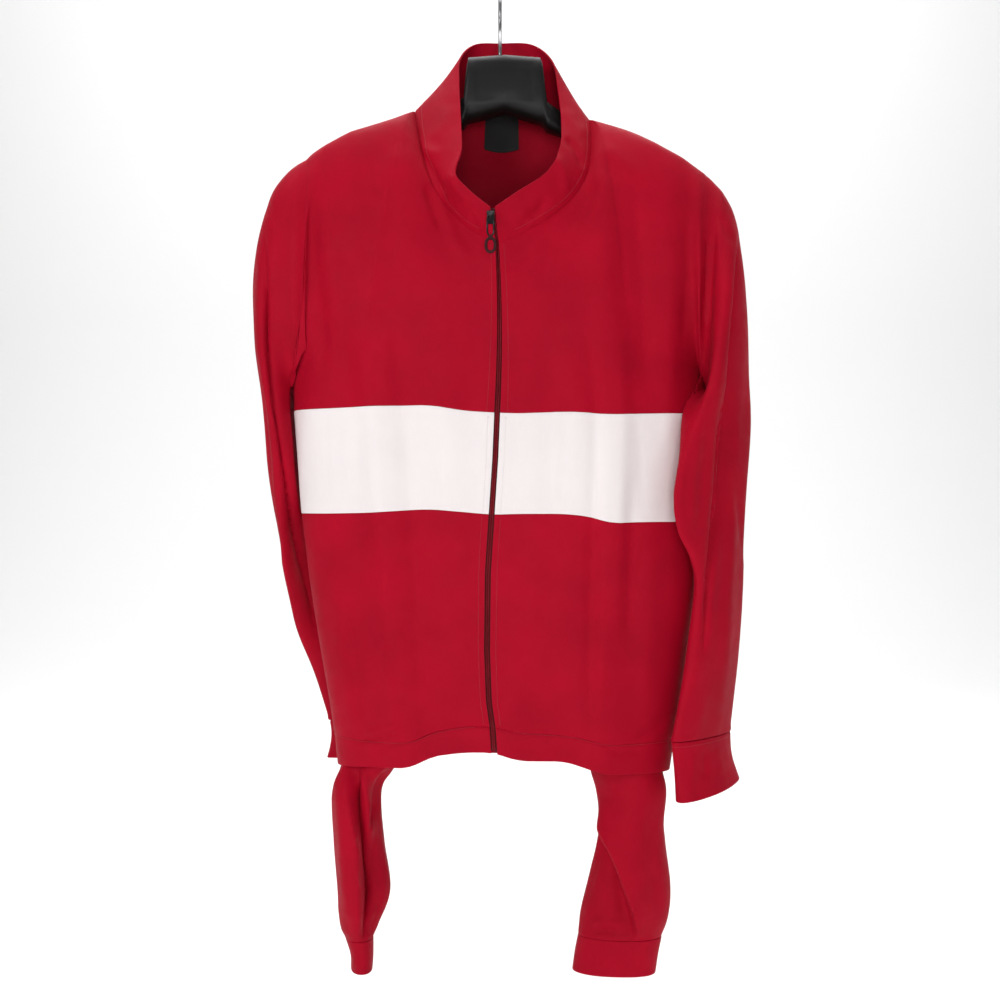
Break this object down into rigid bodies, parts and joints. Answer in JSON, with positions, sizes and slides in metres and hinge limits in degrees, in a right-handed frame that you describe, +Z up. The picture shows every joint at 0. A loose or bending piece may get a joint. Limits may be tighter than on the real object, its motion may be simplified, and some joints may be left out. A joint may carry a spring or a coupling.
{
  "type": "tracksuit on a hanger",
  "caption": "Zipped red jacket with a white chest band and standing collar on a black moulded hanger, its matching red trousers folded over the hanger's bar inside it.",
  "frame": {"origin": "inside of the crown of the hanger's hook, where a rail carries it", "axes": "+Z up, +X to the right in a front view, -Y to the front of the jacket"},
  "size_m": [0.5697, 0.26, 1.1011],
  "materials": {
    "red_cloth": "smooth satin polyester",
    "white_cloth": "smooth satin polyester",
    "zip_tape": "woven tape",
    "label_cloth": "woven label",
    "hanger_plastic": "moulded, lightly worn",
    "pull_plastic": "soft moulded",
    "dark_metal": "dark plated",
    "hook_wire": "bright plated wire"
  },
  "bodies": {
    "suit": {"front_left_chest": "red_cloth", "front_left_band": "white_cloth", "front_left_lower": "red_cloth", "front_right_chest": "red_cloth", "front_right_band": "white_cloth", "front_right_lower": "red_cloth", "back": "red_cloth", "hem_band": "red_cloth", "collar": "red_cloth", "sleeve_left": "red_cloth", "sleeve_right": "red_cloth", "cuff_left": "red_cloth", "cuff_right": "red_cloth", "leg_left": "red_cloth", "leg_right": "red_cloth", "leg_cuff_left": "red_cloth", "leg_cuff_right": "red_cloth", "trouser_seat": "red_cloth", "waistband": "red_cloth", "hanger_body": "hanger_plastic", "trouser_bar": "hanger_plastic", "hook": "hook_wire", "zip_tape_left": "zip_tape", "zip_tape_right": "zip_tape", "zip_slider": "dark_metal", "label": "label_cloth"},
    "zip_pull": {"pull_bail": "dark_metal", "pull_loop": "pull_plastic"}
  },
  "joints": [
    {"name": "pull_swing", "type": "hinge", "parent": "suit", "child": "zip_pull", "pos_m": [-0.01, -0.1067, -0.2668], "axis": [-1, 0, 0], "range_deg": [-10, 100]}
  ]
}
